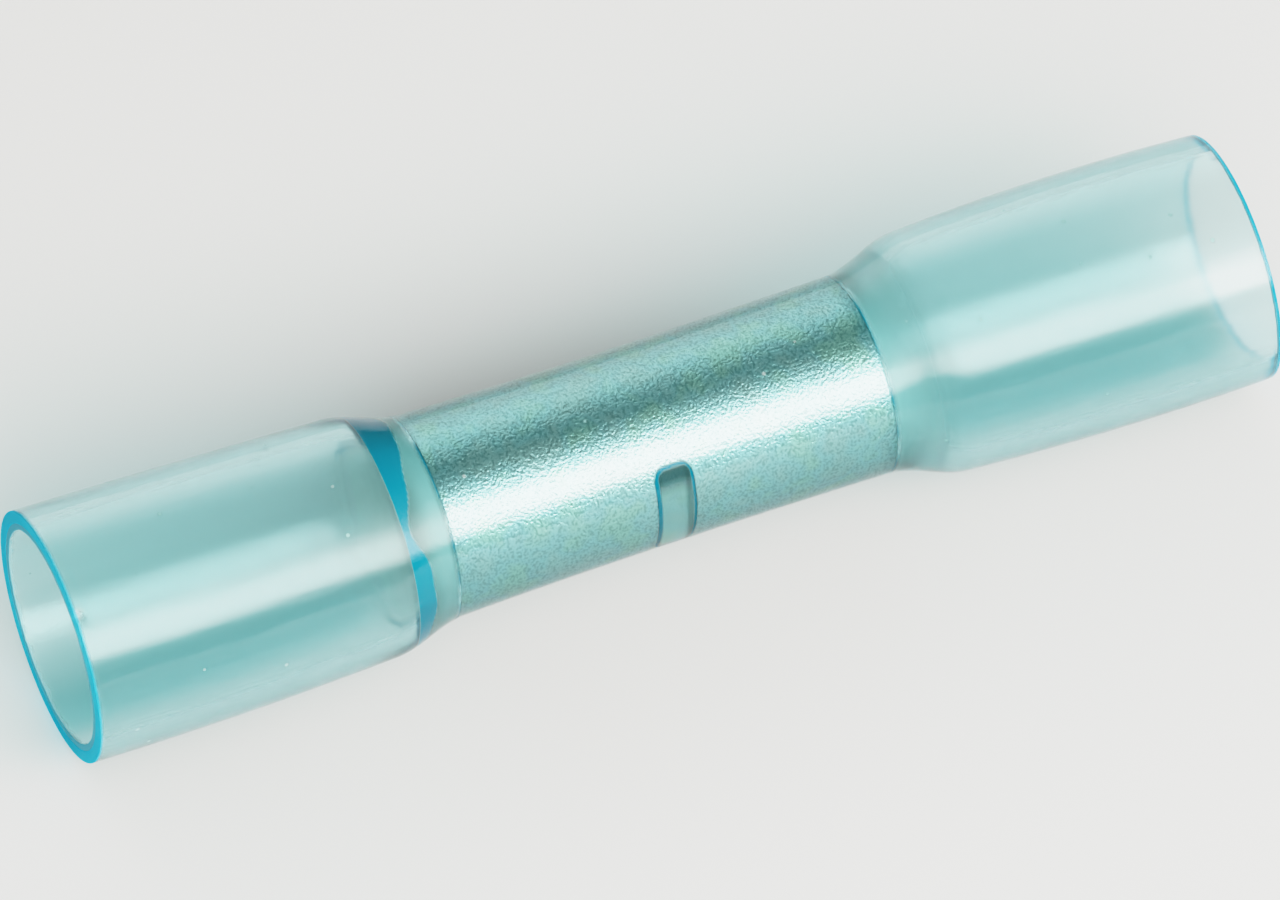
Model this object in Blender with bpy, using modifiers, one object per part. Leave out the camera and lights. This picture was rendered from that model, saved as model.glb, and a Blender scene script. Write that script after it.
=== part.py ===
"""Butt splice connector: a heat-shrink sleeve with its adhesive liner, necked onto a tinned crimp barrel.

Lengths are in metres. The connector lies on its side with its axis along X, and the tabletop is z = 0.
Each piece is turned about its own Z, and Z of the empty that carries them all lies along world X.
"""

import math

import bmesh
import bpy
import numpy as np

# Sleeve, outside. Both open tubes are as wide as each other at their widest place.
LENGTH = 0.0360
TUBE_DIAMETER = 0.00746
LEFT_NECK_DIAMETER = 0.00702
RIGHT_NECK_DIAMETER = 0.00708
RIGHT_BULGE_FROM_MOUTH = 0.0038

# Sleeve and liner walls. Both thicken where the tubing has shrunk furthest, on the barrel.
SLEEVE_WALL = 0.00036
SLEEVE_WALL_ON_BARREL = 0.00046
LINER_WALL = 0.00018
LINER_WALL_ON_BARREL = 0.00024
WAIST_HOLLOW = 0.00008

# Shoulders between the waist and the open tubes.
SHOULDER_LENGTH = 0.0023
SHOULDER_OVER_BARREL = 0.0004

# Crimp barrel. Its bore is set by the wire, and its outside by its bore and wall.
BARREL_LENGTH = 0.0136
BARREL_BORE = 0.00260
BARREL_WALL = 0.000825
BARREL_OUTER_CHAMFER = 0.00012
BARREL_BORE_CHAMFER = 0.00022

# Wire stop, pressed into the middle of the barrel from outside.
STOP_WIDTH = 0.00116
STOP_DEPTH = 0.00060
STOP_CORNER_RADIUS = 0.00034
STOP_METAL_FLOW = 0.00032
STOP_FROM_STRAIGHT_DOWN = math.radians(-80.0)

# Fit between one concentric piece and the next.
SEAT_CLEARANCE = 0.00002

# Facets round each piece, and rings along each stretch of the tubing.
TUBING_FACETS = 32
BARREL_FACETS = 64
TUBE_RINGS = 5
SHOULDER_RINGS = 7
WAIST_RINGS = 4
CORNER_SEGMENTS = 4
SHARP_ANGLE = math.radians(35.0)

# Places that follow from the sizes above, measured along the axis from the barrel's middle.
half_length = LENGTH / 2
half_barrel = BARREL_LENGTH / 2
bore_radius = BARREL_BORE / 2
barrel_radius = bore_radius + BARREL_WALL
waist_end = half_barrel - SHOULDER_OVER_BARREL
tube_start = waist_end + SHOULDER_LENGTH
right_bulge = half_length - RIGHT_BULGE_FROM_MOUTH

# The tubing's bore has flats, so its corners stand out far enough for the flats to clear the barrel.
tubing_flat = math.cos(math.pi / TUBING_FACETS)
liner_bore_on_barrel = (barrel_radius + SEAT_CLEARANCE) / tubing_flat

# The connector rests on a flat of the tubes' widest rings.
axis_height = TUBE_DIAMETER / 2 * tubing_flat


def make_collection(name):
    collection = bpy.data.collections.new(name)
    bpy.context.scene.collection.children.link(collection)
    return collection


def make_material(name, colour, metallic, roughness, transmission=0.0, ior=1.5):
    material = bpy.data.materials.new(name)
    material.use_nodes = True
    material.diffuse_color = (*colour, 1.0)
    shader = material.node_tree.nodes["Principled BSDF"]
    shader.inputs["Base Color"].default_value = (*colour, 1.0)
    shader.inputs["Metallic"].default_value = metallic
    shader.inputs["Roughness"].default_value = roughness
    shader.inputs["Transmission Weight"].default_value = transmission
    shader.inputs["IOR"].default_value = ior
    return material


def add_object(name, mesh, collection):
    piece = bpy.data.objects.new(name, mesh)
    collection.objects.link(piece)
    return piece


def turn(name, profile, facets, collection):
    """Turn a closed profile of (radius, place along the axis) about local Z.

    The profile runs down its outer side and back up its bore. The object is rolled
    by half a facet, so that flats and not corners face up, down and to the sides.
    """
    mesh = bpy.data.meshes.new(name)
    points = [(radius, 0.0, along) for radius, along in profile]
    edges = [(i, (i + 1) % len(points)) for i in range(len(points))]
    mesh.from_pydata(points, edges, [])
    piece = add_object(name, mesh, collection)
    screw = piece.modifiers.new("turn", "SCREW")
    screw.axis = "Z"
    screw.angle = 2 * math.pi
    screw.steps = facets
    screw.render_steps = facets
    screw.use_merge_vertices = True
    screw.merge_threshold = 1e-6
    piece.rotation_euler.z = math.pi / facets
    return piece


def boolean(piece, operation, other):
    modifier = piece.modifiers.new(operation.lower(), "BOOLEAN")
    modifier.operation = operation
    modifier.solver = "EXACT"
    modifier.object = other


def finish(piece, material):
    """Apply the modifiers, shade the round faces smooth and keep the corners sharp."""
    bpy.context.view_layer.update()
    evaluated = piece.evaluated_get(bpy.context.evaluated_depsgraph_get())
    mesh = bpy.data.meshes.new_from_object(evaluated)
    mesh.name = piece.name
    piece.modifiers.clear()
    piece.data = mesh
    mesh.shade_smooth()
    mesh.set_sharp_from_angle(angle=SHARP_ANGLE)
    mesh.materials.clear()
    mesh.materials.append(material)


def hide_tool(tool):
    tool.hide_render = True
    tool.display_type = "WIRE"


def smoothstep(t):
    t = np.clip(t, 0.0, 1.0)
    return t * t * (3 - 2 * t)


def shoulder_blend(along):
    """0 on the waist, 1 on the open tubes, and an S-curve up each shoulder."""
    return smoothstep((np.abs(along) - waist_end) / SHOULDER_LENGTH)


def barrelled(along, widest_at, neck_at, neck_radius):
    """Radius of an open tube: a parabola, widest at one place and down to its neck radius at another."""
    widest = TUBE_DIAMETER / 2
    return widest - (widest - neck_radius) * ((along - widest_at) / (neck_at - widest_at)) ** 2


def blend(along, on_waist, on_tubes):
    share = shoulder_blend(along)
    return on_waist * (1 - share) + on_tubes * share


def sleeve_waist_wall(along):
    """The sleeve is thinnest at the middle of its waist, so its outside is hollow and its bore is straight."""
    return SLEEVE_WALL_ON_BARREL + WAIST_HOLLOW * np.minimum(np.abs(along) / waist_end, 1.0) ** 2


def outer_radius(along):
    """Outside of the sleeve: a slightly hollow waist, two S-shaped shoulders and two open tubes."""
    liner_on_barrel = liner_bore_on_barrel + LINER_WALL_ON_BARREL
    waist = liner_on_barrel + SEAT_CLEARANCE + sleeve_waist_wall(along)
    left = barrelled(along, -half_length, -tube_start, LEFT_NECK_DIAMETER / 2)
    right = barrelled(along, right_bulge, tube_start, RIGHT_NECK_DIAMETER / 2)
    return blend(along, waist, np.where(along < 0, left, right))


def sleeve_bore_radius(along):
    return outer_radius(along) - blend(along, sleeve_waist_wall(along), SLEEVE_WALL)


def liner_radius(along):
    return sleeve_bore_radius(along) - SEAT_CLEARANCE


def liner_bore_radius(along):
    return liner_radius(along) - blend(along, LINER_WALL_ON_BARREL, LINER_WALL)


def tubing_rings():
    """Places of the tubing's rings from the left mouth to the right one."""
    tube = np.linspace(half_length, tube_start, TUBE_RINGS + 1)[:-1]
    shoulder = np.linspace(tube_start, waist_end, SHOULDER_RINGS + 1)[:-1]
    waist = np.linspace(waist_end, -waist_end, WAIST_RINGS + 1)
    return np.concatenate([-tube, -shoulder, waist[::-1], shoulder[::-1], tube[::-1]])


def tubing_profile(outside, inside):
    """Closed profile of one layer of the tubing, down its outside and back up its bore."""
    rings = tubing_rings()
    down = [(float(outside(along)), float(along)) for along in rings[::-1]]
    up = [(float(inside(along)), float(along)) for along in rings]
    return down + up


def barrel_profile():
    """Section of the barrel: a straight tube, chamfered outside and funnelled into its bore."""
    outer_end = half_barrel - BARREL_OUTER_CHAMFER
    bore_end = half_barrel - BARREL_BORE_CHAMFER
    top = [
        (bore_radius + BARREL_BORE_CHAMFER, half_barrel),
        (barrel_radius - BARREL_OUTER_CHAMFER, half_barrel),
        (barrel_radius, outer_end),
    ]
    bottom = [(radius, -along) for radius, along in reversed(top)]
    return top + bottom + [(bore_radius, -bore_end), (bore_radius, bore_end)]


def press_tool(name, width, tip, corner_radius, collection):
    """A flat blade across the barrel, its tip a given distance from the axis, with rounded edges.

    It is drawn pressing in along local X and is then turned to where the stop lies.
    """
    outside = barrel_radius + STOP_DEPTH
    form = bmesh.new()
    bmesh.ops.create_cube(form, size=1.0)
    bmesh.ops.scale(form, vec=(outside - tip, 2 * outside, width), verts=form.verts)
    bmesh.ops.translate(form, vec=((outside + tip) / 2, 0, 0), verts=form.verts)
    tip_edges = [
        edge
        for edge in form.edges
        if all(math.isclose(corner.co.x, tip, abs_tol=1e-7) for corner in edge.verts)
        and abs(edge.verts[0].co.y - edge.verts[1].co.y) > width
    ]
    bmesh.ops.bevel(
        form,
        geom=tip_edges,
        offset=corner_radius,
        segments=CORNER_SEGMENTS,
        profile=0.5,
        affect="EDGES",
    )
    mesh = bpy.data.meshes.new(name)
    form.to_mesh(mesh)
    form.free()
    tool = add_object(name, mesh, collection)
    tool.rotation_euler.z = STOP_FROM_STRAIGHT_DOWN
    hide_tool(tool)
    return tool


def make_stop_metal(collection):
    """The metal that the blade pushes into the bore: a wider, rounder blade cut off inside the wall."""
    tip = bore_radius - STOP_DEPTH
    width = STOP_WIDTH + 2 * STOP_METAL_FLOW
    metal = press_tool("stop_metal", width, tip, STOP_CORNER_RADIUS + STOP_METAL_FLOW, collection)
    mid_wall = bore_radius + BARREL_WALL / 2
    bpy.ops.mesh.primitive_cylinder_add(vertices=BARREL_FACETS, radius=mid_wall, depth=BARREL_LENGTH)
    core = bpy.context.object
    core.name = "stop_metal_limit"
    for holder in list(core.users_collection):
        holder.objects.unlink(core)
    collection.objects.link(core)
    core.rotation_euler.z = math.pi / BARREL_FACETS
    hide_tool(core)
    boolean(metal, "INTERSECT", core)
    return metal, core


for old in list(bpy.data.objects):
    bpy.data.objects.remove(old, do_unlink=True)

parts = make_collection("butt_splice_connector")
cutters = make_collection("cutters")

clear_blue = make_material("clear_blue_polyolefin", (0.10, 0.52, 0.62), 0.0, 0.25, transmission=0.9)
hot_melt = make_material("hot_melt_adhesive", (0.45, 0.72, 0.78), 0.0, 0.45, transmission=0.7, ior=1.49)
tinned_copper = make_material("tinned_copper", (0.63, 0.64, 0.63), 1.0, 0.38)

sleeve = turn("heat_shrink_sleeve", tubing_profile(outer_radius, sleeve_bore_radius), TUBING_FACETS, parts)
liner = turn("adhesive_liner", tubing_profile(liner_radius, liner_bore_radius), TUBING_FACETS, parts)
barrel = turn("crimp_barrel", barrel_profile(), BARREL_FACETS, parts)

stop_tip = barrel_radius - STOP_DEPTH
blade = press_tool("stop_blade", STOP_WIDTH, stop_tip, STOP_CORNER_RADIUS, cutters)
stop_metal, stop_metal_limit = make_stop_metal(cutters)

connector_axis = bpy.data.objects.new("connector_axis", None)
parts.objects.link(connector_axis)
connector_axis.location.z = axis_height
connector_axis.rotation_euler.y = math.pi / 2
for carried in (sleeve, liner, barrel, blade, stop_metal, stop_metal_limit):
    carried.parent = connector_axis

boolean(barrel, "UNION", stop_metal)
boolean(barrel, "DIFFERENCE", blade)

finish(sleeve, clear_blue)
finish(liner, hot_melt)
finish(barrel, tinned_copper)
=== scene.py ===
"""A heat-shrink butt splice: clear blue tubing with an adhesive liner, necked onto a tinned barrel."""

import math

import bpy
import numpy as np
from mathutils import Matrix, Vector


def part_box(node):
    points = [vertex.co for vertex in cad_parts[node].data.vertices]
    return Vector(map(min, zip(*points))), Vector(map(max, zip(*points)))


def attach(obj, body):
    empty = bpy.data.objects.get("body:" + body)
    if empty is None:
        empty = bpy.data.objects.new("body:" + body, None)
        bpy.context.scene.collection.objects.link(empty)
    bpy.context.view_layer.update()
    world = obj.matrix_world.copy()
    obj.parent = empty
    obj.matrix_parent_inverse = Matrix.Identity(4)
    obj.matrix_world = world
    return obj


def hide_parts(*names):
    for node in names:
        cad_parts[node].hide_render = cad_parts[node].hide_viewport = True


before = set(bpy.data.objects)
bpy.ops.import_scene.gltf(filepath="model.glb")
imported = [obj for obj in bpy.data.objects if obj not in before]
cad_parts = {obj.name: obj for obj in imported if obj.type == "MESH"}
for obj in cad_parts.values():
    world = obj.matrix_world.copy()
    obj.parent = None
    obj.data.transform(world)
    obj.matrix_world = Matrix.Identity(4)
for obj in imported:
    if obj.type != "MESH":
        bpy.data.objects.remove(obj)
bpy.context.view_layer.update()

# CRIMP BARREL
# Copper tube, cut to length, with its wire stop pressed in at the middle by a flat blade, then tin plated.
# The plating is matte, with a faint warm and green cast. Its real grains are a few thousandths of a
# millimetre, and are drawn much coarser, so that they show.
BARREL_CAD_FACETS = 64
BARREL_BORE = 0.00260
BARREL_BORE_CHAMFER = 0.00022
BARREL_EDGE_RADIUS = 0.00012
# The stop is a pocket outside and a wider ridge in the bore, both from the same blade.
STOP_WIDTH = 0.00116
STOP_DEPTH = 0.00060
STOP_CORNER_RADIUS = 0.00034
STOP_METAL_FLOW = 0.00032
STOP_EDGE_SOFTNESS = 0.00004
STOP_DIRECTION = math.radians(-10.0)
STOP_LEAST_FACING = 0.2
# Rings along the barrel, and segments round it.
STOP_ZONE = 0.00095
STOP_RINGS = 73
STRAIGHT_RINGS = 16
EDGE_RINGS = 6
END_FACE_RINGS = 4
BARREL_SEGMENTS = 288
# The plating. Each cast is a place in a cloudy pattern, and the colour there.
TIN_CASTS = ((0.36, "D0D8D4"), (0.5, "C8DADA"), (0.64, "CFDDD0"))
TIN_CLOUD = 0.0011
TIN_ROUGHNESS = 0.275
TIN_HAZE_ROUGHNESS = 0.6
TIN_HAZE = 0.05
TIN_GRAIN = 0.000078
GRAIN_HEIGHT = 0.0000165
# Where the grain is low, its hollows are painted darker, partly as the grain's own tone and partly as shade:
# fully below the first level, not at all above the second, and down to the third as a share of the colour.
HOLLOW_BELOW = 0.38
HOLLOW_GONE = 0.52
HOLLOW_PAINTED_SHADE = 0.70
# The pocket's upper end is painted dark as shade: this tint, from an angle above the blade's direction,
# fading in over the next angle.
POCKET_SHADE_TINT = "767E86"
POCKET_SHADE_FROM = math.radians(8.0)
POCKET_SHADE_FADE = math.radians(22.0)

low, high = (np.array(corner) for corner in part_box("crimp_barrel"))
axis_height = (low[2] + high[2]) / 2
half_barrel = (high[0] - low[0]) / 2
barrel_radius = (high[1] - low[1]) / 2 / math.cos(math.pi / BARREL_CAD_FACETS)
bore_radius = BARREL_BORE / 2


def linear(hex_colour):
    """An sRGB hex colour as the linear colour that a shader wants: a straight start, then a power of 2.4."""
    parts = [int(hex_colour[i : i + 2], 16) / 255 for i in (0, 2, 4)]
    return (*[c / 12.92 if c <= 0.04045 else ((c + 0.055) / 1.055) ** 2.4 for c in parts], 1.0)


def node(material, kind, settings=None, **inputs):
    """Adds a node. settings are its properties, and each input is a value or the socket that feeds it.

    An input is named for its socket, with underscores for spaces, or i and a number for the socket's place.
    """
    made = material.node_tree.nodes.new(kind)
    for name, value in (settings or {}).items():
        setattr(made, name, value)
    for name, value in inputs.items():
        place = int(name[1:]) if name[0] == "i" and name[1:].isdigit() else name.replace("_", " ")
        socket = made.inputs[place]
        if isinstance(value, bpy.types.NodeSocket):
            material.node_tree.links.new(value, socket)
        else:
            socket.default_value = value
    return made


def new_material(name):
    """A material with no nodes yet."""
    material = bpy.data.materials.new(name)
    material.use_nodes = True
    material.node_tree.nodes.clear()
    return material


def closed_grid(name, points, material, **point_values):
    """A closed skin from an array of points, rows by columns by 3, that wraps round both ways.

    Each face joins four neighbours. The winding is turned round if the enclosed volume comes out negative.
    Each of point_values has a number for each row or for each point, kept as an attribute for the material.
    """
    rows, columns = points.shape[:2]
    index = np.arange(rows * columns).reshape(rows, columns)
    right = np.roll(index, -1, axis=1)
    quads = np.stack([index, right, np.roll(right, -1, axis=0), np.roll(index, -1, axis=0)], axis=-1)
    quads = quads.reshape(-1, 4)
    flat = points.reshape(-1, 3)
    a, b, c, d = (flat[quads[:, i]] for i in range(4))
    volume = (a * np.cross(b, c)).sum() + (a * np.cross(c, d)).sum()
    if volume < 0:
        quads = quads[:, ::-1]
    mesh = bpy.data.meshes.new(name)
    mesh.vertices.add(len(flat))
    mesh.vertices.foreach_set("co", flat.astype(np.float32).ravel())
    mesh.loops.add(quads.size)
    mesh.loops.foreach_set("vertex_index", quads.astype(np.int32).ravel())
    mesh.polygons.add(len(quads))
    mesh.polygons.foreach_set("loop_start", np.arange(0, quads.size, 4, dtype=np.int32))
    mesh.update(calc_edges=True)
    mesh.shade_smooth()
    for title, values in point_values.items():
        values = np.reshape(values, (rows, -1)) * np.ones(columns)
        attribute = mesh.attributes.new(title, "FLOAT", "POINT")
        attribute.data.foreach_set("value", values.astype(np.float32).ravel())
    mesh.materials.append(material)
    piece = bpy.data.objects.new(name, mesh)
    bpy.context.scene.collection.objects.link(piece)
    return piece


def soft_minimum(a, b, softness):
    """The smaller of two values, with the corner where they cross rounded off over the softness."""
    overlap = np.maximum(softness - np.abs(a - b), 0.0) / softness
    return np.minimum(a, b) - overlap**2 * softness / 4


def pressed(radius, along, angle, tip, width, corner):
    """A tube's radius with a flat blade pressed in across it.

    The blade's tip is a plane, so its distance from the axis grows as one over the cosine of the angle.
    Over the corner at each edge the tip draws back as a quarter circle. Away from the blade, and where the
    tube turns too far from it, the radius stays as it is.
    """
    across = np.clip(np.abs(along) - (width / 2 - corner), 0.0, corner)
    tip_here = tip + corner - np.sqrt(corner**2 - across**2)
    facing = np.cos(angle)
    untouched = 2 * radius
    blade = np.where(facing > STOP_LEAST_FACING, tip_here / np.maximum(facing, STOP_LEAST_FACING), untouched)
    blade = np.where(np.abs(along) > width / 2, untouched, blade)
    return soft_minimum(radius, blade, STOP_EDGE_SOFTNESS)


def ring_angles(segments):
    """The angles of the points round a ring, evenly spaced over one turn."""
    return np.linspace(0, 2 * math.pi, segments, endpoint=False)


def around_axis(along, radius, angle):
    """Points at a place along X, a radius and an angle that runs up from straight towards the front, -Y."""
    return np.stack([along, -radius * np.cos(angle), axis_height + radius * np.sin(angle)], axis=-1)


def away_from(middle, angle):
    """How far an angle lies from another, between minus and plus half a turn."""
    return (angle - middle + math.pi) % (2 * math.pi) - math.pi


def barrel_points():
    """The barrel's outside from left to right, then its bore back from right to left.

    Rings are close together where the stop is pressed in, and the ends are rounded outside and funnelled
    inside. The second array is 1 in the pocket, where the blade pressed, and the third is 1 in the pocket's
    upper end, which is painted dark as shade.
    """
    near = np.linspace(-STOP_ZONE, STOP_ZONE, STOP_RINGS)
    outer_end = half_barrel - BARREL_EDGE_RADIUS
    far = np.linspace(near[-1], outer_end, STRAIGHT_RINGS)[1:]
    turn = np.linspace(0, math.pi / 2, EDGE_RINGS)[1:]
    edge_along = outer_end + BARREL_EDGE_RADIUS * np.sin(turn)
    edge_radius = barrel_radius - BARREL_EDGE_RADIUS * (1 - np.cos(turn))
    outside = np.concatenate([-edge_along[::-1], -far[::-1], near, far, edge_along])
    straight = np.full(len(near) + 2 * len(far), barrel_radius)
    outside_radius = np.concatenate([edge_radius[::-1], straight, edge_radius])[:, None]
    bore_end = half_barrel - BARREL_BORE_CHAMFER
    bore_far = np.linspace(near[-1], bore_end, STRAIGHT_RINGS)[1:]
    face = np.linspace(edge_radius[-1], bore_radius + BARREL_BORE_CHAMFER, END_FACE_RINGS)[1:]
    face_along = np.full(len(face), half_barrel)
    bore = np.concatenate([face_along, bore_far[::-1], near[::-1], -bore_far, -face_along])
    bore_straight = np.full(len(near) + 2 * len(bore_far), bore_radius)
    bore_radii = np.concatenate([face, bore_straight, face[::-1]])[:, None]
    angle = ring_angles(BARREL_SEGMENTS)
    from_stop = angle - STOP_DIRECTION
    along, turned = np.meshgrid(outside, from_stop, indexing="ij")
    tip = barrel_radius - STOP_DEPTH
    out = pressed(outside_radius, along, turned, tip, STOP_WIDTH, STOP_CORNER_RADIUS)
    bore_along, bore_turned = np.meshgrid(bore, from_stop, indexing="ij")
    bore_tip = bore_radius - STOP_DEPTH
    bore_width = STOP_WIDTH + 2 * STOP_METAL_FLOW
    bore_corner = STOP_CORNER_RADIUS + STOP_METAL_FLOW
    inn = pressed(bore_radii, bore_along, bore_turned, bore_tip, bore_width, bore_corner)
    points = np.concatenate([around_axis(along, out, angle), around_axis(bore_along, inn, angle)])
    burnish = np.clip((outside_radius - out) / STOP_EDGE_SOFTNESS, 0.0, 1.0)
    # Painted shade: the pocket's upper end is darkened, fading in above the blade's direction.
    stain = burnish * np.clip((away_from(STOP_DIRECTION, angle) - POCKET_SHADE_FROM) / POCKET_SHADE_FADE, 0.0, 1.0)
    no_mark = np.zeros(inn.shape)
    return points, np.concatenate([burnish, no_mark]), np.concatenate([stain, no_mark])


def matte_tin_plate():
    """Electroplated matte tin: a satin grey metal whose grains tilt its surface, so that the highlight
    breaks into sparks. The hollows between the grains are darker, partly as the grain's own tone and partly
    as painted shade. In the pocket that the blade pressed, that darkening is left out, so the pocket comes
    out lighter, while its grains still tilt the surface."""
    material = new_material("matte_tin_plate")
    where = node(material, "ShaderNodeTexCoord").outputs["Object"]
    grain = node(
        material, "ShaderNodeTexNoise", Vector=where, Scale=1 / TIN_GRAIN, Detail=1.0, Roughness=0.5
    ).outputs["Fac"]
    cloud = node(
        material, "ShaderNodeTexNoise", Vector=where, Scale=1 / TIN_CLOUD, Detail=2.0, Roughness=0.5
    ).outputs["Fac"]
    cast = node(material, "ShaderNodeValToRGB", Fac=cloud)
    stops = cast.color_ramp.elements
    stops.new(TIN_CASTS[1][0])
    for stop, (place, tint) in zip(stops, TIN_CASTS):
        stop.position = place
        stop.color = linear(tint)
    # Painted shade in the grain's hollows, on top of the grain's own tone.
    painted_hollow_shade = node(
        material,
        "ShaderNodeMapRange",
        Value=grain,
        From_Min=HOLLOW_BELOW,
        From_Max=HOLLOW_GONE,
        To_Min=HOLLOW_PAINTED_SHADE,
        To_Max=1.0,
    ).outputs[0]
    # In the pressed pocket the painted shade in the grain's hollows is left out, so the pocket comes out
    # lighter.
    burnish = node(material, "ShaderNodeAttribute", {"attribute_name": "burnish"}).outputs["Fac"]
    shade = node(material, "ShaderNodeMath", {"operation": "MAXIMUM"}, i0=painted_hollow_shade, i1=burnish).outputs[0]
    multiply = {"data_type": "RGBA", "blend_type": "MULTIPLY"}
    shaded = node(material, "ShaderNodeMix", multiply, i0=1.0, i6=cast.outputs[0], i7=shade).outputs[2]
    # Painted shade over the pocket's upper end.
    stain = node(material, "ShaderNodeAttribute", {"attribute_name": "stain"}).outputs["Fac"]
    colour = node(material, "ShaderNodeMix", multiply, i0=stain, i6=shaded, i7=linear(POCKET_SHADE_TINT)).outputs[2]
    bump = node(
        material, "ShaderNodeBump", Strength=1.0, Distance=GRAIN_HEIGHT, Height=grain
    ).outputs["Normal"]
    metal = {"Base_Color": colour, "Metallic": 1.0, "Normal": bump}
    sheen, haze = (
        node(material, "ShaderNodeBsdfPrincipled", Roughness=roughness, **metal).outputs[0]
        for roughness in (TIN_ROUGHNESS, TIN_HAZE_ROUGHNESS)
    )
    surface = node(material, "ShaderNodeMixShader", Fac=TIN_HAZE, i1=sheen, i2=haze)
    node(material, "ShaderNodeOutputMaterial", Surface=surface.outputs[0])
    return material


skin, burnished, stained = barrel_points()
barrel = closed_grid("tinned_barrel", skin, matte_tin_plate(), burnish=burnished, stain=stained)
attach(barrel, "root")
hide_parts("crimp_barrel")

# HEAT-SHRINK SLEEVE
# Extruded tubing of clear blue polyolefin, shrunk onto the barrel with hot air and left wide at both ends.
# It is thickest where it has shrunk furthest, and each end is cut square with a blade.
LEFT_NECK_DIAMETER = 0.00702
RIGHT_NECK_DIAMETER = 0.00708
RIGHT_BULGE_FROM_MOUTH = 0.0038
WAIST_DIAMETER = 0.00575
WAIST_END_DIAMETERS = (0.00594, 0.00585)
SHOULDER_STARTS = (0.00640, 0.00645)
SHOULDER_LENGTH = 0.0023
SLEEVE_WALL = 0.00037
# The cut length bends a little sideways near its two ends.
RIGHT_BEND = 0.00016
RIGHT_BEND_START = 0.008
LEFT_BEND = 0.00009
LEFT_BEND_START = 0.012
BEND_POWER = 1.5
# Rings on half the outside: on the waist, on the shoulder, on the tube and by the mouth. Two more stand
# close together at the end of the pin that held the tubing open, where the band of thick adhesive and
# painted glow has a sharp edge.
OUTSIDE_RINGS = (12, 56, 20, 12)
SHOULDER_MARGIN = 0.0003
NICK_ZONE = 0.0005
PIN_END = 0.00822
POOL_EDGE_FADE = 0.00001
TUBING_SEGMENTS = 192
# The cut rims, a nick near the left one, and what the blade smeared next to it. At the first depth the nick
# would be wholly milky, and at the second it would have no dye.
RIM_RADIUS = 0.000025
RIM_ROOM = 1.5 * RIM_RADIUS
RIM_SHADED = 0.9 * RIM_RADIUS
RIM_RINGS = 5
RIM_FACE_RINGS = 6
CUT_FACE_MILKINESS = 0.85
NICK_FROM_MOUTH = 0.00017
NICK_ANGLE = math.radians(58.0)
NICK_RADIUS = 0.00012
NICK_DEPTH = 0.00012
NICK_MILKY_DEPTH = 0.0002
NICK_PALE_DEPTH = 0.00025
SMEAR_LENGTH = 0.00013
SMEAR_DYE_GAIN = 3
# The plastic. Its waves and drawn lines are longer along the tubing than across it.
SLEEVE_HAZE = 0.015
PLASTIC_IOR = 1.5
BONDED_IOR = 1.02
SHADOW_TINT = "F9FCFC"
WAVE_ACROSS = 0.000909
WAVE_ALONG = 0.003636
SCRATCH_ACROSS = 0.0001923
SCRATCH_ALONG = 0.001374
SCRATCH_DEPTH = 0.000004
BUBBLE_SPACING = 0.0014
BUBBLE_RADIUS = 0.00007
BUBBLE_CORE = 0.000042
BUBBLE_MILKINESS = 0.6

sleeve_low, sleeve_high = (np.array(corner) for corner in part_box("heat_shrink_sleeve"))
half_length = (sleeve_high[0] - sleeve_low[0]) / 2
tube_radius = (sleeve_high[2] - sleeve_low[2]) / 2


def smoothstep(t):
    """Rises from 0 to 1 with level ends: three times the square less twice the cube."""
    t = np.clip(t, 0.0, 1.0)
    return t * t * (3 - 2 * t)


def outline_radius(along):
    """Outside of the tubing: a hollow waist and two open tubes, joined by S-shaped shoulders.

    Each tube is a parabola, widest at its mouth on the left and a little inside its mouth on the right.
    """
    side = (along > 0).astype(int)
    starts = np.array(SHOULDER_STARTS)[side]
    share = smoothstep((np.abs(along) - starts) / SHOULDER_LENGTH)
    edges = np.array(WAIST_END_DIAMETERS)[side] / 2
    waist = WAIST_DIAMETER / 2 + (edges - WAIST_DIAMETER / 2) * np.minimum(np.abs(along) / starts, 1.0) ** 2
    widest = np.where(side == 1, half_length - RIGHT_BULGE_FROM_MOUTH, -half_length)
    neck_at = np.where(side == 1, 1, -1) * (starts + SHOULDER_LENGTH)
    neck = np.where(side == 1, RIGHT_NECK_DIAMETER, LEFT_NECK_DIAMETER) / 2
    tube = tube_radius - (tube_radius - neck) * ((along - widest) / (neck_at - widest)) ** 2
    return waist * (1 - share) + tube * share


def outside_places():
    """Places of the outside rings, from the middle to a mouth: closer together on the shoulder."""
    start = min(SHOULDER_STARTS) - SHOULDER_MARGIN
    finish = max(SHOULDER_STARTS) + SHOULDER_LENGTH + SHOULDER_MARGIN
    on_waist, on_shoulder, on_tube, by_mouth = OUTSIDE_RINGS
    waist = np.linspace(0, start, on_waist)[:-1]
    shoulder = np.linspace(start, finish, on_shoulder)[:-1]
    at_pin_end = PIN_END + np.array([-0.5, 0.5]) * POOL_EDGE_FADE
    tube = np.linspace(finish, half_length - NICK_ZONE, on_tube)[:-1]
    near_mouth = np.linspace(half_length - NICK_ZONE, half_length, by_mouth)
    return np.sort(np.concatenate([waist, shoulder, at_pin_end, tube, near_mouth]))


def sideways_bend(along):
    """The cut length isn't quite straight: its right end swings to the front, and its left end a little
    back. Each end bends along a power curve, from where its bend starts to the mouth."""
    right = np.clip((along - RIGHT_BEND_START) / (half_length - RIGHT_BEND_START), 0.0, 1.0)
    left = np.clip((-along - LEFT_BEND_START) / (half_length - LEFT_BEND_START), 0.0, 1.0)
    return -RIGHT_BEND * right**BEND_POWER + LEFT_BEND * left**BEND_POWER


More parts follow.
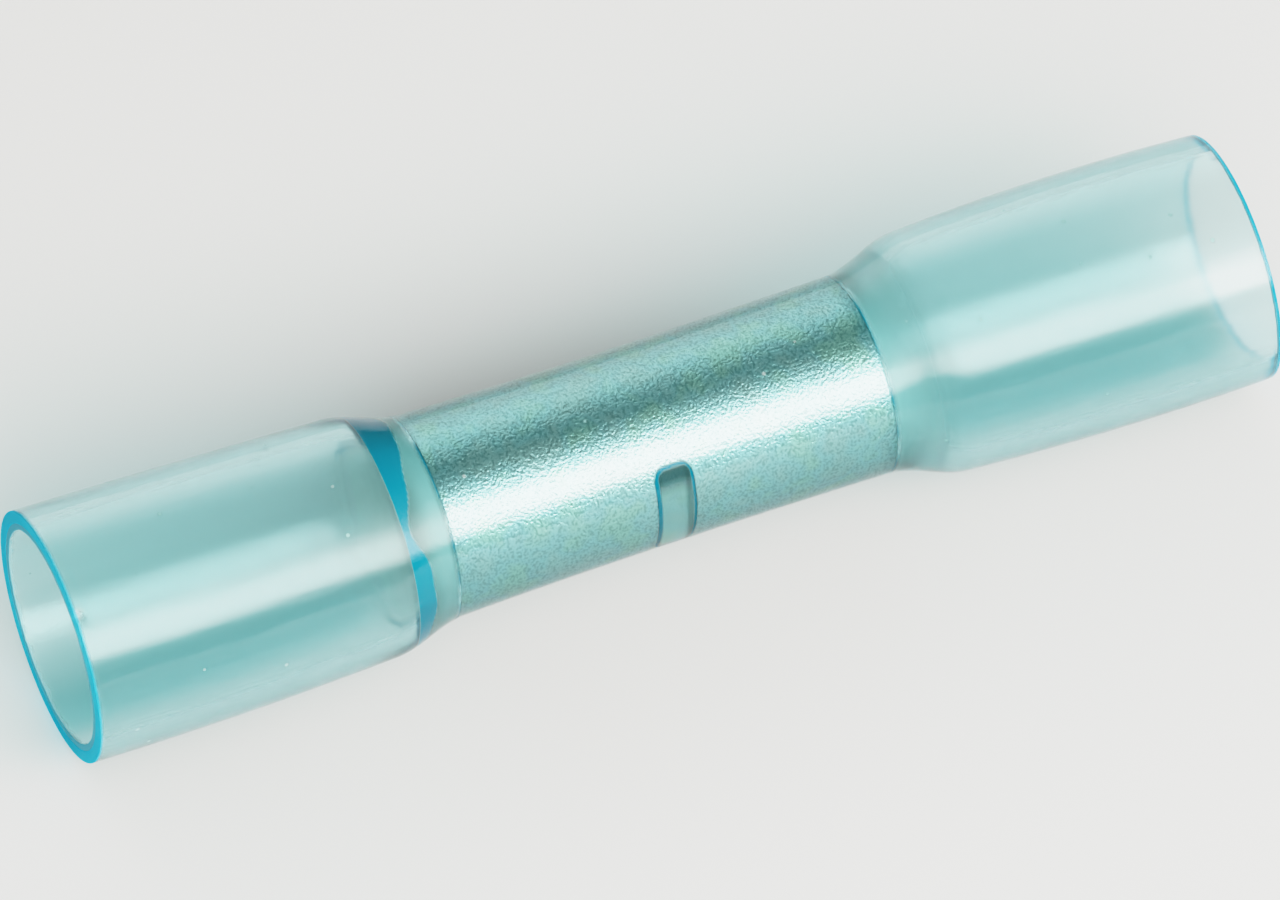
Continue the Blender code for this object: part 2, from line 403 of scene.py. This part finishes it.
def cut_square(along, radius, end, inwards):
    """Cuts a half profile off at a mouth and rounds its edge over a quarter circle. inwards is 1 where the
    radius grows towards the rim, and -1 where it shrinks."""
    turn = np.linspace(0, math.pi / 2, RIM_RINGS)
    kept = along < end - RIM_ROOM
    edge = end - RIM_RADIUS * (1 - np.sin(turn))
    edge_radius = np.interp(edge, along, radius) + inwards * RIM_RADIUS * (1 - np.cos(turn))
    return np.concatenate([along[kept], edge]), np.concatenate([radius[kept], edge_radius])


def layer_profile(outer_halves, inner_halves, end):
    """Joins four half profiles, left and right, to one loop: along the outside from left to right, down the
    right rim, back along the bore and up the left rim. The last arrays are true on the cut rims and on the
    bore."""
    loop = []
    for (outer, inner), side in zip(zip(outer_halves, inner_halves), (-1, 1)):
        out_along, out_radius = cut_square(*outer, end, -1)
        in_along, in_radius = cut_square(*inner, end, 1)
        face_radius = np.linspace(out_radius[-1], in_radius[-1], RIM_FACE_RINGS)[1:-1]
        face_along = np.full(len(face_radius), end)
        half = np.concatenate([out_along, face_along, in_along[::-1]])
        rim = half > end - RIM_SHADED
        bore = np.arange(len(half)) >= len(out_along) + len(face_along)
        radius = np.concatenate([out_radius, face_radius, in_radius[::-1]])
        loop.append((half * side, radius, rim, bore & ~rim))
    left, right = loop
    return [np.concatenate([on_right[1:-1], on_left[::-1]]) for on_right, on_left in zip(right, left)]


def tubing_points(along, radius, segments):
    """Turns a profile about the axis, and bends it sideways as the cut length is bent. The profile's places
    and radii have one column, or one for each segment."""
    points = around_axis(*np.broadcast_arrays(along, radius, ring_angles(segments)))
    points[..., 1] += sideways_bend(points[..., 0])
    return points


def dyed_plastic(
    name, dye_colour, dye_density, roughness, haze_colour, deep_colour, let_through, bump_height
):
    """Clear plastic with dye in it, with soft waves and fine drawn lines along the tubing.

    Its attribute milkiness is the share of light that scatters where it crosses a face, and let_through is
    the part of it that goes on and isn't thrown back. deep_dye says how much dye that light has met: little
    in a thin wall, and much in a cut face, which lets out light that has come a long way along the wall. On
    the band by the left pin, deep_dye paints on the glow of light trapped in the wall by internal
    reflection.
    A face with bonded_face lies against another piece, so that it hardly bends light.
    Small bubbles are scattered through the plastic, and are milky.

    Lamps shine through the plastic, and each face that they cross dyes its shadow a little.
    """
    material = new_material(name)
    where = node(material, "ShaderNodeTexCoord").outputs["Object"]
    wave_stretch = (WAVE_ACROSS / WAVE_ALONG, 1.0, 1.0)
    streaks = node(material, "ShaderNodeMapping", Vector=where, Scale=wave_stretch).outputs[0]
    wave = node(material, "ShaderNodeTexNoise", Vector=streaks, Scale=1 / WAVE_ACROSS, Detail=2.0)
    waved = node(
        material, "ShaderNodeBump", Strength=1.0, Distance=bump_height, Height=wave.outputs["Fac"]
    ).outputs["Normal"]
    scratch_stretch = (SCRATCH_ACROSS / SCRATCH_ALONG, 1.0, 1.0)
    lines = node(material, "ShaderNodeMapping", Vector=where, Scale=scratch_stretch).outputs[0]
    scratch = node(material, "ShaderNodeTexNoise", Vector=lines, Scale=1 / SCRATCH_ACROSS, Detail=3.0)
    bump = node(
        material,
        "ShaderNodeBump",
        Strength=1.0,
        Distance=SCRATCH_DEPTH,
        Height=scratch.outputs["Fac"],
        Normal=waved,
    ).outputs["Normal"]
    bonded = node(material, "ShaderNodeAttribute", {"attribute_name": "bonded_face"}).outputs["Fac"]
    step_in_index = node(
        material, "ShaderNodeMapRange", Value=bonded, To_Min=PLASTIC_IOR, To_Max=BONDED_IOR
    ).outputs[0]
    glass = node(
        material,
        "ShaderNodeBsdfPrincipled",
        Base_Color=linear("FFFFFF"),
        Roughness=roughness,
        IOR=step_in_index,
        Transmission_Weight=1.0,
        Normal=bump,
    )
    deep = node(material, "ShaderNodeAttribute", {"attribute_name": "deep_dye"}).outputs["Fac"]
    milk_colour = node(
        material, "ShaderNodeMix", {"data_type": "RGBA"}, i0=deep, i6=haze_colour, i7=deep_colour
    ).outputs[2]
    thrown_back = node(material, "ShaderNodeBsdfDiffuse", Color=milk_colour).outputs[0]
    through = node(material, "ShaderNodeBsdfTranslucent", Color=milk_colour).outputs[0]
    milk = node(material, "ShaderNodeMixShader", Fac=let_through, i1=thrown_back, i2=through)
    milkiness = node(material, "ShaderNodeAttribute", {"attribute_name": "milkiness"}).outputs["Fac"]
    cell = node(material, "ShaderNodeTexVoronoi", Vector=where, Scale=1 / BUBBLE_SPACING)
    bubble = node(
        material,
        "ShaderNodeMapRange",
        Value=cell.outputs["Distance"],
        From_Min=BUBBLE_RADIUS / BUBBLE_SPACING,
        From_Max=BUBBLE_CORE / BUBBLE_SPACING,
        To_Max=BUBBLE_MILKINESS,
    ).outputs[0]
    share = node(material, "ShaderNodeMath", {"operation": "MAXIMUM"}, i0=milkiness, i1=bubble).outputs[0]
    body = node(material, "ShaderNodeMixShader", Fac=share, i1=glass.outputs[0], i2=milk.outputs[0])
    clear = node(material, "ShaderNodeBsdfTransparent", Color=linear(SHADOW_TINT))
    shadow = node(material, "ShaderNodeLightPath").outputs["Is Shadow Ray"]
    surface = node(material, "ShaderNodeMixShader", Fac=shadow, i1=body.outputs[0], i2=clear.outputs[0])
    volume = node(material, "ShaderNodeVolumeAbsorption", Color=dye_colour, Density=dye_density)
    node(material, "ShaderNodeOutputMaterial", Surface=surface.outputs[0], Volume=volume.outputs[0])
    return material


def clear_blue_polyolefin():
    """Semi-rigid clear polyolefin: glossy, with blue dye that shows more the further light goes through it,
    so that cut rims and walls seen on edge are a deep cyan."""
    return dyed_plastic(
        "clear_blue_polyolefin",
        dye_colour=linear("99E7EA"),
        dye_density=800.0,
        roughness=0.10,
        haze_colour=linear("DDF1EF"),
        deep_colour=linear("3FD6FC"),
        let_through=0.5,
        bump_height=0.000011,
    )


def smeared(along, end, length):
    """How far the blade has smeared a face by the left cut: 1 at the cut, and 0 from the length onwards."""
    return np.clip(1 - (end + along) / length, 0.0, 1.0)


def sleeve_bore(along):
    """The sleeve's own wall thickens from tube to waist as it shrinks, since its section keeps its area."""
    outside = outline_radius(along)
    wall = SLEEVE_WALL * tube_radius / outside
    return outside - wall


places = outside_places()
sleeve_outer = [(places, outline_radius(side * places)) for side in (-1, 1)]
sleeve_inner = [(places, sleeve_bore(side * places)) for side in (-1, 1)]
sleeve_along, sleeve_radius, sleeve_rims, bonded = layer_profile(sleeve_outer, sleeve_inner, half_length)
nick_across = tube_radius * away_from(NICK_ANGLE, ring_angles(TUBING_SEGMENTS))
from_nick = np.hypot(sleeve_along[:, None] + half_length - NICK_FROM_MOUTH, nick_across)
nick = NICK_DEPTH * np.exp(-((from_nick / NICK_RADIUS) ** 2)) * ~bonded[:, None]
smear = smeared(sleeve_along, half_length, SMEAR_LENGTH) * ~bonded
sleeve_milkiness = np.where(bonded, 0.0, SLEEVE_HAZE) + (CUT_FACE_MILKINESS - SLEEVE_HAZE) * smear
sleeve_milkiness = np.where(sleeve_rims, CUT_FACE_MILKINESS, sleeve_milkiness)
sleeve_dye = np.maximum(sleeve_rims, np.minimum(SMEAR_DYE_GAIN * smear, 1.0))
sleeve = closed_grid(
    "blue_heat_shrink_sleeve",
    tubing_points(sleeve_along[:, None], sleeve_radius[:, None] - nick, TUBING_SEGMENTS),
    clear_blue_polyolefin(),
    milkiness=sleeve_milkiness[:, None] + nick / NICK_MILKY_DEPTH,
    deep_dye=sleeve_dye[:, None] * (1 - nick / NICK_PALE_DEPTH),
    bonded_face=bonded,
)
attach(sleeve, "root")
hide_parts("heat_shrink_sleeve")

# ADHESIVE LINER
# Hot-melt adhesive, extruded as the tubing's inner layer. It wets the barrel, and is paler and hazier than
# the sleeve. Its ends are torn a little by the blade that cuts the tubing.
LINER_WALL = 0.00019
LINER_SET_BACK = 0.000005
LAYER_OVERLAP = 0.00001
FILLET_START = 0.00675
LINER_SEGMENTS = 224
# Where the bore's rings lie: by the pocket, before the barrel's end, and as shares of fillet and tube.
POCKET_ZONE = 0.0009
POCKET_ZONE_RINGS = 36
WAIST_BORE_RINGS = 10
BEFORE_BARREL_END = np.array([0.00017, 0.00011, 0.00005])
FILLET_SHARES = np.concatenate([np.linspace(0.0, 0.98, 26), [0.996, 1.0]])
TUBE_SHARES = np.concatenate([[0.001, 0.01], np.linspace(0.03, 0.96, 25), np.linspace(0.965, 1, 9)])
# How far from the middle the outline is worked out, in half lengths, and at how many places.
OUTLINE_REACH = 1.05
OUTLINE_PLACES = 2001
# The adhesive's haze and dye, on plain faces, on the rims, and where the blade smeared it.
LINER_HAZE = 0.05
LINER_RIM_MILKINESS = 0.9
LINER_RIM_DYE = 0.8
LINER_SMEAR_DYE = 0.45
SMEAR_UNEVENNESS = 0.6
# Adhesive in the corner at each end of the barrel, less of it where the hot air blew.
FILLET_HAZE = 0.85
FILLET_DYE = 0.06
FILLET_EASE = 0.0022
EASE_START = 0.0002
LEAST_DROP = 0.00001
RIGHT_EASE = 0.7
AIR_ANGLE = math.radians(53.0)
LEE_FROM = math.radians(72.0)
LEE_FADE = math.radians(40.0)
# The band by the left pin, where adhesive lies thick against the pin's end. Its deep cyan is painted glow,
# for light trapped in the wall by internal reflection. Each swell of its edge has a height in metres, and
# its middle and its spread in degrees. Each ripple has a height in metres, a number of waves round the
# turn, and a phase in radians.
POOL_GLOW_MILKINESS = 0.95
POOL_GLOW_DYE_GAIN = 3
POOL_WIDTH = 0.00060
POOL_FRONT_FADE = 0.00006
POOL_SWELLS = ((0.00055, 122.0, 30.0), (-0.00030, 50.0, 17.0), (-0.0012, 235.0, 70.0))
POOL_RIPPLES = ((0.00004, 5, 0.6), (0.00003, 11, 2.0))
PIN_LINE = 0.5
# A bead round the stop's pocket, wider on its left, and haze in the pocket.
BEAD_WIDTHS = (0.00024, 0.00016)
BEAD_FADE = 0.00003
POCKET_HAZE = 0.25
POCKET_HAZE_AT_TOP = 0.5
# A broken line over each end of the barrel.
COLLAR_WIDTH = 0.00009
COLLAR_STRENGTH = 0.45
COLLAR_UNEVENNESS = 0.9
COLLAR_WAVES = (2, 5, 11)
COLLAR_DYE_GAIN = 2
# The torn ends.
TEAR_LENGTH = 0.0004
TEAR_DEPTH = 0.000015
TEAR_WAVES = (9, 17, 31, 43)
TEAR_LIP = 0.000012
LIP_WAVES = (6, 13, 23, 37)


def hot_melt_adhesive():
    """Hot-melt adhesive: soft, hazy and pale, with less dye than the sleeve."""
    return dyed_plastic(
        "hot_melt_adhesive",
        dye_colour=linear("B3ECF1"),
        dye_density=650.0,
        roughness=0.16,
        haze_colour=linear("EDFDF8"),
        deep_colour=linear("00AECE"),
        let_through=0.3,
        bump_height=0.000009,
    )


def below_outline(along, depth):
    """A surface at a set depth below the outside of the tubing, measured square to it."""
    dense = np.linspace(-half_length * OUTLINE_REACH, half_length * OUTLINE_REACH, OUTLINE_PLACES)
    outside = outline_radius(dense)
    slope = np.gradient(outside, dense)
    length = np.sqrt(1 + slope**2)
    sunk_along = dense + depth * slope / length
    order = np.argsort(sunk_along)
    return np.interp(along, sunk_along[order], (outside - depth / length)[order])


def bore_profile(side, depth, radius_on_barrel):
    """Half of a bore, from the middle to a mouth, as places and radii. It is formed on a round pin, pushed
    in from the mouth as far as PIN_END.

    Past the pin's end the tubing shrinks freely: its bore drops to the barrel along a parabola, which starts
    steep at the pin's sharp edge and is level where it meets the barrel.
    """
    pin_radius = below_outline(side * PIN_END, depth)
    fillet_along = FILLET_START + (PIN_END - FILLET_START) * FILLET_SHARES
    fillet_radius = radius_on_barrel + (pin_radius - radius_on_barrel) * FILLET_SHARES**2
    barrel_end = FILLET_START - BEFORE_BARREL_END
    pocket = np.linspace(0, POCKET_ZONE, POCKET_ZONE_RINGS)
    beyond_pocket = np.linspace(POCKET_ZONE, barrel_end[0], WAIST_BORE_RINGS)[1:-1]
    waist = np.concatenate([pocket, beyond_pocket, barrel_end])
    waist_radius = np.full(len(waist), radius_on_barrel)
    tube = PIN_END + (half_length - PIN_END) * TUBE_SHARES
    along = np.concatenate([waist, fillet_along, tube])
    return along, np.concatenate([waist_radius, fillet_radius, below_outline(side * tube, depth)])


def pool_width(angle):
    """How far the band of painted glow reaches from the end of the left pin towards the barrel. It is
    narrowest on the upper front, widest over the top, and gone at the back and underneath. Its edge is sine
    waves and bell-shaped swells added up."""
    width = POOL_WIDTH
    for height, turns, phase in POOL_RIPPLES:
        width = width + height * np.sin(turns * angle + phase)
    for height, middle, spread in POOL_SWELLS:
        away = away_from(math.radians(middle), angle)
        width = width + height * np.exp(-((away / math.radians(spread)) ** 2))
    return width


def painted_glow_band(along, angle):
    """1 on the band by the end of the left pin, where adhesive is thick and a deep cyan is painted on as
    glow, and 0 elsewhere, with a soft front.
    """
    from_pin = along + PIN_END
    sharp = np.clip(from_pin / POOL_EDGE_FADE + 0.5, 0.0, 1.0)
    return sharp * np.clip((pool_width(angle) - from_pin) / POOL_FRONT_FADE, 0.0, 1.0)


def from_pocket_edge(along, angle):
    """Distance from the edge of the barrel's pocket, less than zero inside it: a box with round corners, on
    the barrel's surface rolled out flat."""
    half_height = barrel_radius * math.acos(1 - STOP_DEPTH / barrel_radius)
    beyond_side = np.abs(along) - (STOP_WIDTH / 2 - STOP_CORNER_RADIUS)
    up = barrel_radius * away_from(STOP_DIRECTION, angle)
    beyond_end = np.abs(up) - (half_height - STOP_CORNER_RADIUS)
    to_corner = np.hypot(np.maximum(beyond_side, 0.0), np.maximum(beyond_end, 0.0))
    return to_corner + np.minimum(np.maximum(beyond_side, beyond_end), 0.0) - STOP_CORNER_RADIUS


def round_pocket(along, angle):
    """1 on a line where adhesive has crept over the pocket's edge, and 0 elsewhere. Its left is thicker."""
    half_width = np.where(along < 0, *BEAD_WIDTHS) / 2
    return np.clip((half_width - np.abs(from_pocket_edge(along, angle))) / BEAD_FADE + 0.5, 0.0, 1.0)


def in_pocket(along, angle):
    """1 where adhesive fills the pocket, and less at its upper end, which is painted dark as shade."""
    filled = np.clip(-from_pocket_edge(along, angle) / BEAD_FADE, 0.0, 1.0)
    up = (away_from(STOP_DIRECTION, angle) - POCKET_SHADE_FROM) / POCKET_SHADE_FADE
    return filled * np.clip(1 - up, POCKET_HAZE_AT_TOP, 1.0)


def waves(angle, turns):
    """An uneven edge: waves of the given numbers round the turn added up, between minus and plus one."""
    return sum(np.sin(turn * angle + turn**2) for turn in turns) / len(turns)


def at_barrel_end(along, angle):
    """0 to 1 on a broken line round each end of the barrel, where the adhesive is thickest over its edge."""
    ring = np.clip(1 - np.abs(np.abs(along) - FILLET_START) / COLLAR_WIDTH, 0.0, 1.0)
    return ring * np.clip(COLLAR_STRENGTH + COLLAR_UNEVENNESS * waves(angle, COLLAR_WAVES), 0.0, 1.0)


def eased_bore(along, angle, radius, radius_on_barrel, wall_radius):
    """Where adhesive has flowed into the corner at the barrel's end, the bore drops more gently than the
    pin's edge left it: all round the right end, and on the left in the lee of the hot air, which blew from
    the upper front.

    The second array is the share of the corner that adhesive fills: 1 at the barrel, and 0 in the tube.
    """
    past = np.abs(along) - FILLET_START
    drop = np.maximum(wall_radius, radius_on_barrel) - radius_on_barrel
    gentle = radius_on_barrel + drop * smoothstep(past / FILLET_EASE)
    lee = smoothstep((np.abs(away_from(AIR_ANGLE, angle)) - LEE_FROM) / LEE_FADE)
    ease = np.where(along > 0, np.maximum(lee, RIGHT_EASE), lee) * (past > 0)
    eased = radius + (gentle - radius) * ease
    filled = 1 - (eased - radius_on_barrel) / np.maximum(drop, LEAST_DROP)
    return eased, np.clip(filled, 0.0, 1.0) * smoothstep(past / EASE_START)


liner_end = half_length - LINER_SET_BACK
liner_depth = SLEEVE_WALL + LINER_WALL
wetted_radius = barrel_radius - LAYER_OVERLAP
liner_outer = [(places, sleeve_bore(side * places) + LAYER_OVERLAP) for side in (-1, 1)]
liner_inner = [bore_profile(side, liner_depth, wetted_radius) for side in (-1, 1)]
liner_along, liner_radius, liner_rims, free = layer_profile(liner_outer, liner_inner, liner_end)
outer_face = ~free & ~liner_rims
angle = ring_angles(LINER_SEGMENTS)
along = liner_along[:, None] + np.zeros(LINER_SEGMENTS)
on_bore = free[:, None]
# Painted glow: a milky deep cyan band on the adhesive by the left pin, for light trapped in the wall by
# internal reflection.
pool_painted_glow = outer_face[:, None] * painted_glow_band(along, angle)
bead = on_bore * round_pocket(along, angle)
collar = on_bore * at_barrel_end(along, angle)
wall_radius = below_outline(liner_along, liner_depth)[:, None]
bore_radii, filled = eased_bore(along, angle, liner_radius[:, None], wetted_radius, wall_radius)
liner_radii = np.where(on_bore, bore_radii, liner_radius[:, None])
in_fillet = on_bore * filled
near_pin_end = np.abs(liner_along + PIN_END + POOL_EDGE_FADE / 2) < POOL_EDGE_FADE / 4
pin_line = PIN_LINE * (outer_face & near_pin_end)[:, None] * (pool_width(angle) > 0)
smear_length = SMEAR_LENGTH * (1 + SMEAR_UNEVENNESS * waves(angle, TEAR_WAVES))
bore_smear = on_bore * smeared(along, liner_end, smear_length)
bore_haze = LINER_HAZE + (FILLET_HAZE - LINER_HAZE) * in_fillet
bore_haze = bore_haze + (LINER_RIM_MILKINESS - LINER_HAZE) * bore_smear
bore_haze = bore_haze + (POCKET_HAZE - LINER_HAZE) * in_pocket(along, angle)
liner_milkiness = np.where(liner_rims[:, None], LINER_RIM_MILKINESS, on_bore * bore_haze)
liner_milkiness = liner_milkiness * (1 - bead) * (1 - collar) + POOL_GLOW_MILKINESS * (pool_painted_glow + bead + collar)
plain_dye = LINER_RIM_DYE * liner_rims[:, None] + FILLET_DYE * in_fillet
smear_dye = LINER_SMEAR_DYE * np.minimum(SMEAR_DYE_GAIN * bore_smear, 1.0)
liner_dye = POOL_GLOW_DYE_GAIN * pool_painted_glow + bead + COLLAR_DYE_GAIN * collar + plain_dye + smear_dye
near_end = smoothstep((np.abs(along) - liner_end) / TEAR_LENGTH + 1)
torn_along = along - np.sign(along) * near_end * TEAR_DEPTH * (0.5 + 0.5 * waves(angle, TEAR_WAVES))
torn_radius = liner_radii - ~outer_face[:, None] * near_end * TEAR_LIP * waves(angle, LIP_WAVES)
liner = closed_grid(
    "hot_melt_liner",
    tubing_points(torn_along, torn_radius, LINER_SEGMENTS),
    hot_melt_adhesive(),
    milkiness=liner_milkiness + pin_line,
    deep_dye=np.minimum(liner_dye, 1.0),
    bonded_face=outer_face | (np.abs(liner_along) < FILLET_START),
)
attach(liner, "root")
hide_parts("adhesive_liner")

# STUDIO
# A pale floor, one large soft box in front and above, a white card behind, and a dim even surround.
# Each pair in a fall-off has a place from a lamp's low edge, 0, to its high edge, 1, and the light there.
FLOOR_HALF_WIDTH = 1.5
LAMP_DISTANCE = 0.30
LAMP_COLOUR = "FFFCF7"
LAMP_FEATHER = 0.12
KEY_HEIGHT_ANGLE = math.radians(52.0)
KEY_TOWARDS_RIGHT = math.radians(18.0)
KEY_SIZE = (0.72, 0.42)
KEY_RADIANCE = 8.2
KEY_FALL_OFF = (
    (0.0, 0.05), (0.06, 0.3), (0.14, 1.0), (0.36, 1.0), (0.47, 0.55), (0.57, 0.2), (0.72, 0.07), (1.0, 0.0)
)
CARD_HEIGHT_ANGLE = math.radians(143.0)
CARD_TOWARDS_RIGHT = math.radians(2.0)
CARD_SIZE = (0.36, 0.436)
CARD_RADIANCE = 1.5
CARD_FALL_OFF = ((0.0, 0.0), (0.25, 0.06), (0.42, 0.45), (0.55, 0.85), (0.75, 1.0), (1.0, 1.0))
SURROUND = "81807E"

centre = np.array([0.0, 0.0, axis_height])


def floor_material():
    """Matt pale laminate, as a plain backdrop."""
    material = new_material("pale_floor")
    shader = node(material, "ShaderNodeBsdfPrincipled", Base_Color=linear("E4E6E7"), Roughness=0.7)
    node(material, "ShaderNodeOutputMaterial", Surface=shader.outputs[0])
    return material


bpy.ops.mesh.primitive_plane_add(size=2 * FLOOR_HALF_WIDTH)
floor = bpy.context.object
floor.name = "floor"
floor.data.materials.append(floor_material())


def soft_light(name, height_angle, towards_right, size, radiance, fall_off):
    """A rectangular lamp that faces the connector. Its angle runs up from the front, over the top, to the
    back. Towards its ends the lamp fades over LAMP_FEATHER of its width."""
    way = np.array(
        [
            math.sin(towards_right),
            -math.cos(towards_right) * math.cos(height_angle),
            math.cos(towards_right) * math.sin(height_angle),
        ]
    )
    data = bpy.data.lights.new(name, "AREA")
    data.shape = "RECTANGLE"
    data.size, data.size_y = size
    data.energy = radiance * math.pi * size[0] * size[1]
    data.use_nodes = True
    data.node_tree.nodes.clear()
    on_lamp = node(data, "ShaderNodeNewGeometry").outputs["Parametric"]
    place = node(data, "ShaderNodeSeparateXYZ", Vector=on_lamp)
    share = node(data, "ShaderNodeValToRGB", Fac=place.outputs["Y"])
    stops = share.color_ramp.elements
    for height, _ in fall_off[1:-1]:
        stops.new(height)
    for stop, (_, level) in zip(stops, fall_off):
        stop.color = (level, level, level, 1.0)
    to_middle = {"operation": "PINGPONG"}
    from_end = node(data, "ShaderNodeMath", to_middle, i0=place.outputs["X"], i1=0.5).outputs[0]
    feather = node(data, "ShaderNodeMapRange", Value=from_end, From_Max=LAMP_FEATHER).outputs[0]
    multiply = {"operation": "MULTIPLY"}
    strength = node(data, "ShaderNodeMath", multiply, i0=share.outputs[0], i1=feather).outputs[0]
    glow = node(data, "ShaderNodeEmission", Color=linear(LAMP_COLOUR), Strength=strength)
    node(data, "ShaderNodeOutputLight", Surface=glow.outputs[0])
    lamp = bpy.data.objects.new(name, data)
    bpy.context.scene.collection.objects.link(lamp)
    across = np.array([1.0, 0.0, 0.0])
    across -= way * across.dot(way)
    across /= np.linalg.norm(across)
    up = np.cross(way, across)
    turned = Matrix(np.array([across, up, way]).T.tolist()).to_4x4()
    lamp.matrix_world = Matrix.Translation(centre + LAMP_DISTANCE * way) @ turned
    lamp.visible_camera = False


soft_light("key_soft_box", KEY_HEIGHT_ANGLE, KEY_TOWARDS_RIGHT, KEY_SIZE, KEY_RADIANCE, KEY_FALL_OFF)
soft_light("white_card", CARD_HEIGHT_ANGLE, CARD_TOWARDS_RIGHT, CARD_SIZE, CARD_RADIANCE, CARD_FALL_OFF)

world = bpy.data.worlds.new("dim_surround")
world.use_nodes = True
world.node_tree.nodes["Background"].inputs["Color"].default_value = linear(SURROUND)
bpy.context.scene.world = world

# The film's response: straight up to a mid tone, and then a long shoulder that holds the highlights.
FILM_RESPONSE = (
    (0.0, 0.0), (0.05, 0.02), (0.2, 0.19), (0.53, 0.53), (0.77, 0.68), (1.06, 0.80), (2.0, 0.90),
    (3.3, 0.94), (8.0, 0.98),
)
view = bpy.context.scene.view_settings
view.view_transform = "Standard"
view.use_curve_mapping = True
view.curve_mapping.use_clip = False
for channel in view.curve_mapping.curves[:3]:
    channel.points[-1].location = FILM_RESPONSE[-1]
    for light_in, light_out in FILM_RESPONSE[1:-1]:
        channel.points.new(light_in, light_out)
view.curve_mapping.update()

# Light crosses many faces of clear plastic before it comes out, so its paths are long.
LIGHT_BOUNCES = 32
cycles = bpy.context.scene.cycles
cycles.max_bounces = LIGHT_BOUNCES
cycles.transmission_bounces = LIGHT_BOUNCES
cycles.glossy_bounces = LIGHT_BOUNCES
cycles.transparent_max_bounces = LIGHT_BOUNCES
cycles.caustics_refractive = False
cycles.caustics_reflective = False
cycles.use_denoising = True

# The camera stands well back, so that the connector is drawn almost without perspective.
CAMERA_AZIMUTH = math.radians(-23.0)
CAMERA_ELEVATION = math.radians(50.8)
CAMERA_DISTANCE = 0.66
SENSOR_WIDTH_MM = 36.0
LENS_PER_DISTANCE = 0.9984
PHOTO_WIDTH, PHOTO_HEIGHT = 1280, 900
BARREL_MIDDLE_IN_PHOTO = (643.5, 445.0)

camera_data = bpy.data.cameras.new("camera")
camera_data.sensor_width = SENSOR_WIDTH_MM
camera_data.lens = LENS_PER_DISTANCE * CAMERA_DISTANCE * 1000
camera_data.clip_start = 0.05
camera_data.clip_end = 10.0
camera_data.shift_x = -(BARREL_MIDDLE_IN_PHOTO[0] - PHOTO_WIDTH / 2) / PHOTO_WIDTH
camera_data.shift_y = (BARREL_MIDDLE_IN_PHOTO[1] - PHOTO_HEIGHT / 2) / PHOTO_WIDTH
camera = bpy.data.objects.new("camera", camera_data)
bpy.context.scene.collection.objects.link(camera)
back = np.array(
    [
        math.sin(CAMERA_AZIMUTH) * math.cos(CAMERA_ELEVATION),
        -math.cos(CAMERA_AZIMUTH) * math.cos(CAMERA_ELEVATION),
        math.sin(CAMERA_ELEVATION),
    ]
)
camera.location = centre + CAMERA_DISTANCE * back
camera.rotation_euler = (math.pi / 2 - CAMERA_ELEVATION, 0.0, CAMERA_AZIMUTH)
bpy.context.scene.camera = camera
